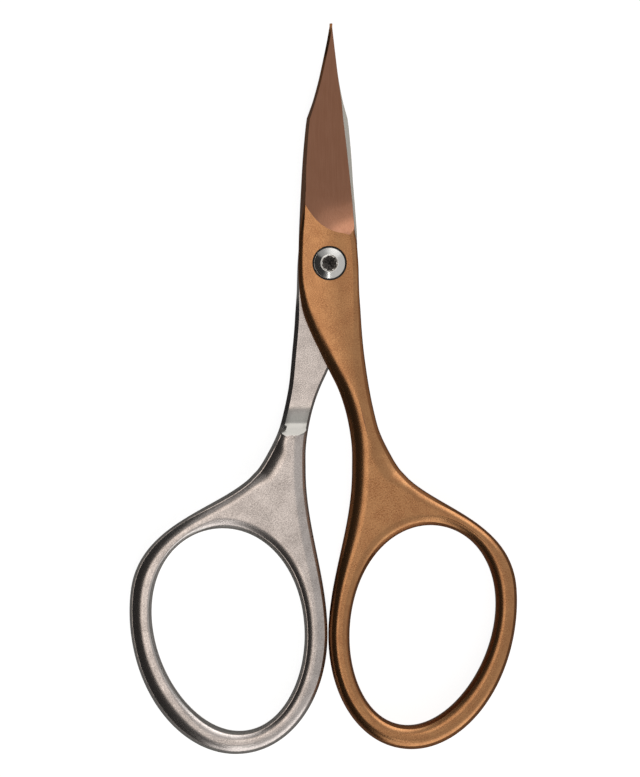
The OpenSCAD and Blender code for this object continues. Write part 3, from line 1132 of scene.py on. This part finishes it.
    def row(self, y: float, rise: float) -> np.ndarray:
        """One closed section across the shank, joint or blade.

        Args:
            y: The row's height at the cutting edge.
            rise: How much higher it lies at the spine.

        Returns:
            The section's points by station.
        """
        left_top, left_low = self.side_path(y, rise, 1)
        right_top, right_low = self.side_path(y, rise, 2)
        shares = np.linspace(0, 1, self.flat_steps + 1)[1:-1]
        top, low = [], []
        for t in shares:
            spot = left_top[-1] * (1 - t) + right_top[-1] * t
            row_y = spot[1]
            for _ in range(SETTLE_ROUNDS):
                s = self.across(spot[0], row_y)[0]
                row_y = y + rise * (1 - min(1.0, max(0.0, s))) ** self.heel_curve
            if rise == 0:
                row_y = spot[1]
            flat = self.half_t - self.flat_drop(spot[0], row_y)
            top.append(np.array([spot[0], row_y, min(flat, self.ground(spot[0], row_y))]))
        for t in shares[::-1]:
            spot = left_low[-1] * (1 - t) + right_low[-1] * t
            low.append(np.array([spot[0], spot[1], max(-self.half_t, self.under(spot[1]))]))
        return np.vstack([left_top, top, right_top[::-1], right_low, low, left_low[::-1]])

    def rows(self) -> list[tuple[float, float]]:
        """The rows of sections, from the shank's foot to the point.

        Returns:
            Each row's height at the cutting edge, and how much higher it lies at the spine.
        """
        foot, heel_foot = -self.shank_len, -self.joint_w / 2
        ramp_end = -self.ramp_y - self.ramp_len
        blade_start = self.heel_y + self.runout_len
        places = [(foot, 0.0)]
        for start, end, count in ((foot, ramp_end, self.shank_rows),
                                  (ramp_end, -self.ramp_y, self.ramp_rows),
                                  (-self.ramp_y, heel_foot, self.plate_rows)):
            places += [(y, 0.0) for y in spread(start, end, count)]
        places += [(y, self.heel_rise * ((y - heel_foot) / (self.heel_y - heel_foot)) ** 2)
                   for y in spread(heel_foot, self.heel_y, self.heel_rows)]
        places += [(y, self.heel_rise) for y in spread(self.heel_y, blade_start, self.runout_rows)]
        places += [(y, self.heel_rise * (1 - (y - blade_start) / (self.shoulder_y - blade_start)))
                   for y in spread(blade_start, self.shoulder_y, self.blade_rows)]
        tip = self.blade_len - self.point_tip
        return places + [(y, 0.0) for y in spread(self.shoulder_y, tip, self.point_rows)]

    def web(self) -> tuple[list[np.ndarray], list[np.ndarray]]:
        """The outside and the finger hole as runs of points, column by column.

        Returns:
            The outside from the foot's left end round to its right end, and the hole all round.
        """
        ring = self.ring
        foot = -self.shank_len
        left_foot = np.array([self.side_x(foot, 1), foot])
        right_foot = np.array([self.side_x(foot, 2), foot])
        left_end, right_end = ring.outside(self.left_leave), ring.outside(self.right_leave)
        left_way = unit(ring.outside(self.left_leave - 1) - left_end)
        right_way = unit(ring.outside(self.right_leave + 1) - right_end)
        left = [left_foot, left_foot - np.array([0, self.left_reach]),
                left_end + left_way * self.left_reach, left_end]
        right = [right_end, right_end + right_way * self.right_ring_reach,
                 right_foot + turned(np.array([self.right_foot_reach, 0]), self.foot_turn),
                 right_foot]

        def bend(p: list[np.ndarray], t: float) -> np.ndarray:
            """A point of a curve with four handles."""
            return (p[0] * (1 - t) ** 3 + 3 * p[1] * t * (1 - t) ** 2 + 3 * p[2] * t * t * (1 - t)
                    + p[3] * t ** 3)

        n_left, n_ring, n_right = self.left_steps, self.ring_steps, self.right_steps
        outside = [bend(left, i / n_left) for i in range(n_left)]
        span = self.right_leave - self.left_leave
        outside += [ring.outside(self.left_leave + span * i / n_ring) for i in range(n_ring)]
        outside += [bend(right, 1 - (1 - i / n_right) ** self.outside_crowding)
                    for i in range(n_right + 1)]
        turns = [self.foot_left + (self.left_leave - self.foot_left) * i / n_left
                 for i in range(n_left)]
        turns += [self.left_leave + span * i / n_ring for i in range(n_ring)]
        turns += [self.right_leave + (self.foot_right - self.right_leave)
                  * (1 - (1 - i / n_right) ** self.hole_crowding) for i in range(n_right)]
        turns += [self.foot_right + (self.foot_left + 360 - self.foot_right) * i / self.flat_steps
                  for i in range(self.flat_steps)]
        return outside, [ring.hole(t) for t in turns]

    def normals(self, points: list[np.ndarray], closed: bool) -> list[np.ndarray]:
        """The direction into the metal at each point of a run.

        Args:
            points: The run's points in plan.
            closed: Whether the run goes all round, as the finger hole does.

        Returns:
            A direction at length one for each point.
        """
        count = len(points)
        out = []
        for i in range(count):
            a = points[(i - 1) % count] if closed else points[max(i - 1, 0)]
            b = points[(i + 1) % count] if closed else points[min(i + 1, count - 1)]
            out.append(turned(unit(b - a), -90.0 if closed else 90.0))
        return out

    def fits(self, points: list[np.ndarray], others: list[np.ndarray],
             lean: float) -> tuple[list[float], list[float]]:
        """How deep an edge may be where the ring is narrow, and how wide its shoulder grows.

        Args:
            points: The edge's points.
            others: The points of the edge across from it.
            lean: How much larger its share is on the ring's outer limb.

        Returns:
            The share of its full depth for each point, and how far its shoulder is widened.
        """
        far = np.array(others)
        middle = self.ring.middle()[0]
        shares, wides = [], []
        for p in points:
            outer = eased(p[0], middle, middle + self.limb_share * self.ring.b)
            share = self.ring_share + lean * outer
            room = share * np.min(np.linalg.norm(far - p, axis=1)) / self.edge.depth
            inner = eased(middle - p[0], 0.0, self.limb_share * self.ring.b)
            wide = max(eased(room, *self.wide_room) if p[0] > middle else 0.0,
                       self.outer_wide * outer, self.inner_wide * inner)
            wides.append(wide)
            room /= 1 + wide * (self.edge.widened(self.profile, 1.0)[-1, 0] / self.edge.depth - 1)
            shares.append((1 + room ** -self.fit_power) ** (-1 / self.fit_power))
        return shares, wides

    def edge_path(self, at: EdgeSpot) -> np.ndarray:
        """The points of one edge of the ring, from the rim inwards."""
        return np.array([[*(at.point + at.way * depth * at.fit), z]
                         for depth, z in self.edge.widened(self.profile, at.wide)])

    def column(self, hole_at: EdgeSpot, far_at: EdgeSpot | np.ndarray) -> np.ndarray:
        """One section of the ring, from the finger hole to the outside or to the shank's foot.

        Args:
            hole_at: The place on the finger hole's edge.
            far_at: The place on the outside's edge, or just a point of the foot.

        Returns:
            The section's points by station.
        """
        near = self.edge_path(hole_at)
        if isinstance(far_at, EdgeSpot):
            far = self.edge_path(far_at)
        else:
            far = np.array([[far_at[0], far_at[1], self.half_t]] * len(self.profile))
        shares = np.linspace(0, 1, self.flat_steps + 1)[1:-1, None]
        top = near[-1] * (1 - shares) + far[-1] * shares
        mirror = np.array([1, 1, -1])
        return np.vstack([near, top, far[::-1], far * mirror, top[::-1] * mirror,
                          near[::-1] * mirror])

    # ---- meshes

    def build_ring(self) -> bpy.types.Object:
        """Draws the ring and its web by extruding a section around the finger hole.

        Returns:
            The ring, open where the shank joins it.
        """
        outside, hole = self.web()
        hole_ways, out_ways = self.normals(hole, True), self.normals(outside, False)
        out_ways[0] = self.side_normal(-self.shank_len, 1)
        out_ways[-1] = self.side_normal(-self.shank_len, 2)
        hole_fits, _ = self.fits(hole, outside, -self.outer_lean)
        out_fits, wides = self.fits(outside, hole, self.outer_lean)
        out_fits[0] = out_fits[-1] = 1.0
        wides[0], wides[-1] = self.inner_wide, 1.0
        near = [EdgeSpot(*at, 0.0) for at in zip(hole, hole_ways, hole_fits)]
        far = [EdgeSpot(*at) for at in zip(outside, out_ways, out_fits, wides)]
        loft = lofted(self.name + "_ring", [self.column(*both) for both in zip(near, far)])
        # Along the foot only the hole's side goes on, up to the line where the shank begins
        count, flats = len(self.profile), self.flat_steps - 1
        last = 4 * count + 2 * flats
        loft.keep(set(range(0, count + flats + 1)) | set(range(3 * count + flats - 1, last)))
        start = outside[0] + out_ways[0] * self.edge.widened(self.profile, self.inner_wide)[-1, 0]
        end = outside[-1] + out_ways[-1] * self.edge.widened(self.profile, 1.0)[-1, 0]
        for j in range(1, self.flat_steps + 1):
            spot = end + (start - end) * j / self.flat_steps
            loft.extend(self.column(near[(len(outside) - 1 + j) % len(hole)], spot))
        return loft.done()

    def build_blade(self) -> bpy.types.Object:
        """Draws the shank, joint and blade by extruding a section from the foot to the point.

        Returns:
            The blade, open at its foot.
        """
        sections = [self.row(y, rise) for y, rise in self.rows()]
        point = np.mean(sections[-1], axis=0)
        point[1] = self.blade_len
        sections.append(np.tile(point, (len(sections[-1]), 1)))
        return lofted(self.name + "_blade", sections).done()

    def build(self) -> bpy.types.Object:
        """Builds the half, turns it over if it is the lower one, and sets it in its place.

        Returns:
            The finished and dressed half.
        """
        ring, blade = self.build_ring(), self.build_blade()
        make_active(blade)
        ring.select_set(True)
        bpy.ops.object.join()
        half = bpy.context.object
        half.name = half.data.name = self.name
        weld(half)
        self.dress(half)
        make_active(half)
        if self.lower:
            bpy.ops.transform.rotate(value=math.pi, orient_axis="Y", center_override=(0, 0, 0))
        bpy.ops.transform.translate(value=(-self.pivot_off * MM, 0, self.half_t * MM))
        bpy.ops.object.transform_apply(location=True, rotation=True, scale=True)
        return half

    def dress(self, half: bpy.types.Object) -> None:
        """Gives the flats, side bands, ground face and riding side their finishes, by their place.

        Args:
            half: The half, still in its own place.
        """
        for finish in self.finishes:
            half.data.materials.append(finish.build())

        def is_band(c: Vector, n: Vector) -> bool:
            """Whether a face belongs to a side band or the rim."""
            return abs(n[2]) < self.band_steep

        def is_ground(c: Vector, n: Vector) -> bool:
            """Whether a face belongs to the ground blade face or to the riding face behind it."""
            if c[1] < self.heel_y or is_band(c, n):
                return False
            return n[2] < 0 or abs(c[2] - self.ground(c[0], c[1])) < self.ground_close

        def is_riding(c: Vector, n: Vector) -> bool:
            """Whether a face belongs to the riding side, from the heel to the ramp's end."""
            level = n[2] < -self.band_steep or (
                n[2] < -self.ramp_steep and abs(n[0]) < self.ramp_side)
            return level and -self.ramp_y - self.ramp_len < c[1] < self.heel_y

        edit(half)
        for patch, wanted in ((Patch.BAND, is_band), (Patch.GROUND, is_ground),
                              (Patch.RIDING, is_riding)):
            assign_slot(half, patch, wanted)
        bpy.ops.mesh.select_mode(type="EDGE")
        bpy.ops.mesh.select_all(action="DESELECT")
        for line in bmesh.from_edit_mesh(half.data).edges:
            slots = {f.material_index for f in line.link_faces}
            line.select_set(slots == {Patch.FLAT, Patch.GROUND}
                            and all(f.normal[2] > 0 for f in line.link_faces))
        bpy.ops.mesh.mark_sharp()
        leave_edit()


# ---------------------------------------------------------------- pivot screw and slide bush


@dataclass
class PivotScrew:
    """The turned pivot screw: threaded end, shoulder, sloped head and six-lobe recess."""

    name: str = "turned_pivot_screw"
    sides: int = 144
    thread_r: float = 0.95
    shoulder_r: float = 1.25
    shoulder_low: float = 1.68
    head_r: float = 1.92
    head_top: float = 3.38
    head_t: float = 0.85
    head_drop: float = 0.28
    land_r: float = 0.925
    land_w: float = 0.05
    chamfer: float = 0.12
    recess_r: float = 0.875
    lobe_depth: float = 0.13
    recess_depth: float = 0.6
    # Level below the recess's floor and share of its width, down to the cone's end
    cone: tuple[tuple[float, float], ...] = ((0.1, 0.3), (0.2, 0.02))
    end_bevel: float = 0.1
    lobe_count: int = 6
    lobe_power: float = 0.8
    wall_gap: float = 0.001
    # Rounding of the head's edges, with the places on it in shares of that rounding
    edge_soft: float = 0.03
    rim_mid: float = 0.3
    rim_over: float = 0.2
    slope_starts: tuple[float, float] = (1.6, 2.6)
    slope_lag: float = 0.7
    flat_edge: float = 0.35
    slope_crown: float = 0.01
    crisp_degrees: float = 16.0

    def circle(self, radius: float, z: float) -> np.ndarray:
        """A round section of the screw."""
        return round_section(radius, z, self.sides)

    def lobes(self, z: float, share: float = 1.0) -> np.ndarray:
        """A section of the six-lobe recess.

        Args:
            z: Its level.
            share: Its share of the recess's full width.

        Returns:
            The section's points by station.
        """
        wave = (0.5 - 0.5 * np.cos(self.lobe_count * around(self.sides))) ** self.lobe_power
        return round_section((self.recess_r - 2 * self.lobe_depth * wave) * share, z, self.sides)

    def build(self) -> bpy.types.Object:
        """Draws the screw by extruding a circle along its outline and down into its recess.

        Returns:
            The finished screw.
        """
        under = self.head_top - self.head_t
        rim = self.head_top - self.head_drop
        flat_r = self.land_r + self.chamfer + self.land_w
        soft = self.edge_soft
        floor = self.head_top - self.recess_depth
        sections = [self.circle(self.thread_r - self.end_bevel, 0.0),
                    self.circle(self.thread_r, self.end_bevel),
                    self.circle(self.thread_r, self.shoulder_low),
                    self.circle(self.shoulder_r - soft, self.shoulder_low),
                    self.circle(self.shoulder_r, self.shoulder_low + soft),
                    self.circle(self.shoulder_r, under), self.circle(self.head_r - soft, under),
                    self.circle(self.head_r, under + soft), self.circle(self.head_r, rim - soft),
                    self.circle(self.head_r - self.rim_mid * soft, rim - self.rim_mid * soft),
                    self.circle(self.head_r - soft, rim + self.rim_over * soft)]
        middle_r = (self.head_r + flat_r) / 2
        fall = (self.head_top - rim) / (self.head_r - flat_r)
        sections += [self.circle(self.head_r - k * soft, rim + (k - self.slope_lag) * soft * fall)
                     for k in self.slope_starts]
        sections += [self.circle(middle_r, (rim + self.head_top) / 2 + self.slope_crown),
                     self.circle(flat_r + soft, self.head_top - self.flat_edge * soft),
                     self.circle(flat_r, self.head_top),
                     self.circle(self.land_r + self.chamfer, self.head_top),
                     self.circle(self.land_r, self.head_top - self.chamfer)]
        sections += [self.lobes(self.head_top - self.chamfer - self.wall_gap), self.lobes(floor)]
        sections += [self.lobes(floor - down, share) for down, share in self.cone]
        screw = lofted(self.name, sections).done()
        weld(screw)
        screw.data.materials.append(TURNED_STEEL.build())
        # The recess gets a dark material: painted shade inside the hollow
        screw.data.materials.append(RECESS_SHADE_STEEL.build())

        def in_recess(c: Vector, n: Vector) -> bool:
            """Whether a face belongs to the recess's wall or floor."""
            return (math.hypot(c[0], c[1]) < self.recess_r
                    and floor - self.cone[-1][0] < c[2] < self.head_top - self.chamfer)

        edit(screw)
        assign_slot(screw, 1, in_recess)
        leave_edit()
        smooth(screw, self.crisp_degrees)
        return screw


@dataclass
class SlideBush:
    """The moulded cup bush: a sleeve around the screw's shoulder and a rim around its head."""

    name: str = "slide_bush_cup"
    sides: int = 144
    low: float = 1.72
    seat: float = 2.18
    floor: float = 2.48
    top: float = 3.15
    sleeve_in: float = 1.28
    sleeve_out: float = 1.58
    cup_in: float = 1.97
    cup_out: float = 2.125
    soft: float = 0.03
    soft_mid: float = 0.3
    crisp_degrees: float = 25.0

    def build(self) -> bpy.types.Object:
        """Draws the bush by extruding a circle along its closed outline.

        Returns:
            The finished bush.
        """
        s, mid = self.soft, self.soft_mid * self.soft
        outline = [(self.sleeve_in, self.low), (self.sleeve_out, self.low),
                   (self.sleeve_out, self.seat), (self.cup_out, self.seat),
                   (self.cup_out, self.top - s), (self.cup_out - mid, self.top - mid),
                   (self.cup_out - s, self.top), (self.cup_in + s, self.top),
                   (self.cup_in + mid, self.top - mid), (self.cup_in, self.top - s),
                   (self.cup_in, self.floor), (self.sleeve_in, self.floor),
                   (self.sleeve_in, self.low)]
        bush = lofted(self.name, [round_section(r, z, self.sides) for r, z in outline]).done()
        weld(bush)
        # Its black rim also stands in for the shade in the gap round the screw head
        bush.data.materials.append(BLACK_POM_GAP_SHADE.build())
        smooth(bush, self.crisp_degrees)
        return bush


# ---------------------------------------------------------------- studio


@dataclass
class Studio:
    """A pale floor, soft lamps and the camera, which looks straight down as the photograph does."""

    frame_h: float = 95.73
    centre_x: float = -1.18
    centre_y: float = -15.41
    plane_z: float = 1.7
    distance: float = 600.0
    sensor: float = 36.0
    clip_m: tuple[float, float] = (0.01, 20.0)
    floor_r: float = 1500.0
    floor_z: float = -0.02
    floor_sides: int = 64
    paper: str = "E8E6E3"
    lamp_far: float = 620.0
    camera_share: float = 0.93
    glossy_share: float = 0.04
    # The room's light from its dark left to its light right, and its cut on matt surfaces
    room_span: tuple[float, float] = (-0.34, 0.14)
    room_levels: tuple[float, float] = (0.03, 0.72)
    matt_cut: float = -0.8

    def camera(self) -> None:
        """Sets the camera above the scissors, with a long lens."""
        data = bpy.data.cameras.new("camera")
        data.sensor_width = self.sensor
        data.lens = self.sensor * self.distance / self.frame_h
        data.clip_start, data.clip_end = self.clip_m
        cam = bpy.data.objects.new("camera", data)
        bpy.context.scene.collection.objects.link(cam)
        cam.location = (self.centre_x * MM, self.centre_y * MM, (self.plane_z + self.distance) * MM)
        bpy.context.scene.camera = cam

    def floor(self) -> None:
        """Lays the pale floor, which the camera sees as white paper with the scissors' shadow."""
        deselect_all()
        bpy.ops.mesh.primitive_circle_add(vertices=self.floor_sides, radius=self.floor_r * MM,
                                          fill_type="NGON", location=(0, 0, self.floor_z * MM))
        floor = bpy.context.object
        floor.name = "pale_floor"
        mat = bpy.data.materials.new("pale_paper")
        tree = fresh_tree(mat)
        paper = add_node(tree, "ShaderNodeBsdfDiffuse", {"Color": linear(self.paper)})
        way = add_node(tree, "ShaderNodeLightPath")
        shiny = add_node(tree, "ShaderNodeMath", {}, {0: way.outputs["Is Glossy Ray"],
                                                      1: way.outputs["Is Transmission Ray"]},
                         operation="ADD")
        seen = add_node(tree, "ShaderNodeMath", {1: self.glossy_share / self.camera_share},
                        {0: shiny.outputs[0], 2: way.outputs["Is Camera Ray"]},
                        operation="MULTIPLY_ADD")
        strength = add_node(tree, "ShaderNodeMath", {1: self.camera_share}, {0: seen.outputs[0]},
                            operation="MULTIPLY")
        white = add_node(tree, "ShaderNodeEmission", {}, {"Strength": strength.outputs[0]})
        both = add_node(tree, "ShaderNodeAddShader", {}, {0: paper.outputs[0], 1: white.outputs[0]})
        add_node(tree, "ShaderNodeOutputMaterial", {}, {0: both.outputs[0]})
        floor.data.materials.append(mat)

    def lamp(self, name: str, tilt: float, azimuth: float, size: tuple[float, float],
             radiance: float, tint: str = "FFFFFF", on_paper: bool = True) -> None:
        """Hangs one soft lamp that faces the scissors.

        Args:
            name: Its name.
            tilt: Its angle from straight above, in degrees.
            azimuth: Its direction in plan, in degrees from +X towards +Y.
            size: How far it reaches round and up, in degrees.
            radiance: How bright its face is, where 1 is white.
            tint: Its colour as sRGB hex.
            on_paper: Whether it lights the paper too.
        """
        data = bpy.data.lights.new(name, "AREA")
        wide, high = (2 * self.lamp_far * math.tan(math.radians(v / 2)) * MM for v in size)
        data.shape, data.size, data.size_y = "RECTANGLE", wide, high
        data.color = linear(tint)[:3]
        data.energy = radiance * math.pi * wide * high
        lamp = bpy.data.objects.new(name, data)
        bpy.context.scene.collection.objects.link(lamp)
        up, round_ = math.radians(tilt), math.radians(azimuth)
        way = Vector((math.sin(up) * math.cos(round_), math.sin(up) * math.sin(round_),
                      math.cos(up)))
        lamp.rotation_euler = way.to_track_quat("Z", "Y").to_euler()
        lamp.location = way * self.lamp_far * MM + Vector((0, self.centre_y * MM, 0))
        lamp.visible_diffuse = on_paper
        lamp.visible_camera = False

    def lamps(self) -> None:
        """Hangs the lamps: a softbox above, a strip and a panel behind, the same two in front."""
        self.lamp("key_softbox", 13, 168, (34, 24), 1.15, "FFF6EE", on_paper=False)
        self.lamp("back_strip", 35, 90, (60, 18), 0.32, on_paper=False)
        self.lamp("back_panel", 62, 75, (70, 36), 1.35, on_paper=False)
        self.lamp("front_panel", 70, -75, (70, 44), 0.9)
        self.lamp("front_strip", 38, -94, (4, 24), 2.2)

    def world(self) -> None:
        """Fills the room with an even light that falls off to the left, and a white backdrop."""
        world = bpy.data.worlds.new("studio")
        bpy.context.scene.world = world
        tree = fresh_tree(world)
        place = add_node(tree, "ShaderNodeTexCoord").outputs["Generated"]
        axes = add_node(tree, "ShaderNodeSeparateXYZ", {}, {0: place})
        (start, end), (dark, light) = self.room_span, self.room_levels
        side = add_node(tree, "ShaderNodeMapRange",
                        {"From Min": start, "From Max": end, "To Min": dark, "To Max": light},
                        {"Value": axes.outputs[0]}, interpolation_type="SMOOTHSTEP")
        way = add_node(tree, "ShaderNodeLightPath")
        dimmed = add_node(tree, "ShaderNodeMath", {1: self.matt_cut, 2: 1.0},
                          {0: way.outputs["Is Diffuse Ray"]}, operation="MULTIPLY_ADD")
        level = add_node(tree, "ShaderNodeMath", {}, {0: side.outputs[0], 1: dimmed.outputs[0]},
                         operation="MULTIPLY")
        room = add_node(tree, "ShaderNodeBackground", {}, {"Strength": level.outputs[0]})
        white = add_node(tree, "ShaderNodeBackground", {"Color": (1, 1, 1, 1), "Strength": 1.0})
        mix = add_node(tree, "ShaderNodeMixShader", {},
                       {0: way.outputs["Is Camera Ray"], 1: room.outputs[0], 2: white.outputs[0]})
        add_node(tree, "ShaderNodeOutputWorld", {}, {0: mix.outputs[0]})

    def build(self) -> None:
        """Sets up the whole studio."""
        self.camera()
        self.floor()
        self.lamps()
        self.world()
        bpy.context.scene.view_settings.view_transform = "Standard"


# ---------------------------------------------------------------- the scissors


def upper_half() -> Half:
    """The copper-coated upper half, with its sizes."""
    ring = Ring(y=43.65, a=16.27, b=11.42, lean=10.2, hole_a=12.5, hole_b=8.73, hole_lean=13.3,
                hole_in=0.2)
    return Half(name="copper_half_forging", node="copper_half", body="upper_blade",
                slot="copper_coated_steel", ring=ring,
                finishes=(BLASTED_COPPER, BELTED_COPPER, POLISHED_COPPER, RIDING_COPPER),
                lean=0.37, trim=0.0, lower=False, outer_lean=-0.03, inner_wide=0.7, ledge=0.03)


def lower_half() -> Half:
    """The bare steel lower half, with its sizes."""
    ring = Ring(y=44.2, a=16.25, b=12.1, lean=7.6, hole_a=12.6, hole_b=9.27, hole_lean=10.7,
                hole_in=0.1)
    return Half(name="steel_half_forging", node="steel_half", body="lower_blade",
                slot="blasted_steel", ring=ring,
                finishes=(BLASTED_STEEL, BELTED_STEEL, POLISHED_STEEL, RIDING_STEEL),
                lean=-0.37, trim=0.2, lower=True, outer_lean=0.17, outer_wide=1.0, shank_in=0.22)


def hand_over(piece: bpy.types.Object, body: str, node: str) -> None:
    """Lets a piece ride on its body and stand for its CAD node, which is hidden.

    Args:
        piece: The finished piece.
        body: The body that it moves with.
        node: The CAD node that it stands for.
    """
    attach(piece, body)
    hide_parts(node)
    LOG.info("%s: %d faces, rides on %s", piece.name, len(piece.data.polygons), body)


def main() -> None:
    logging.basicConfig(level=logging.INFO, format="%(message)s")
    Studio().build()
    bush, screw = SlideBush(), PivotScrew()
    copper, steel = upper_half(), lower_half()

    top = copper.build()
    drill(top, bush.sleeve_out, 0.0, bush.seat + SEAT_OVER)
    drill(top, bush.cup_out, bush.seat, bush.top + DRILL_OVER)
    smooth(top)
    hand_over(top, copper.body, copper.node)

    base = steel.build()
    drill(base, screw.thread_r, -DRILL_OVER, screw.shoulder_low + DRILL_OVER)
    smooth(base)
    hand_over(base, steel.body, steel.node)

    hand_over(screw.build(), "lower_blade", "pivot_screw")
    hand_over(bush.build(), "upper_blade", "slide_bush")


if __name__ == "__main__":
    main()
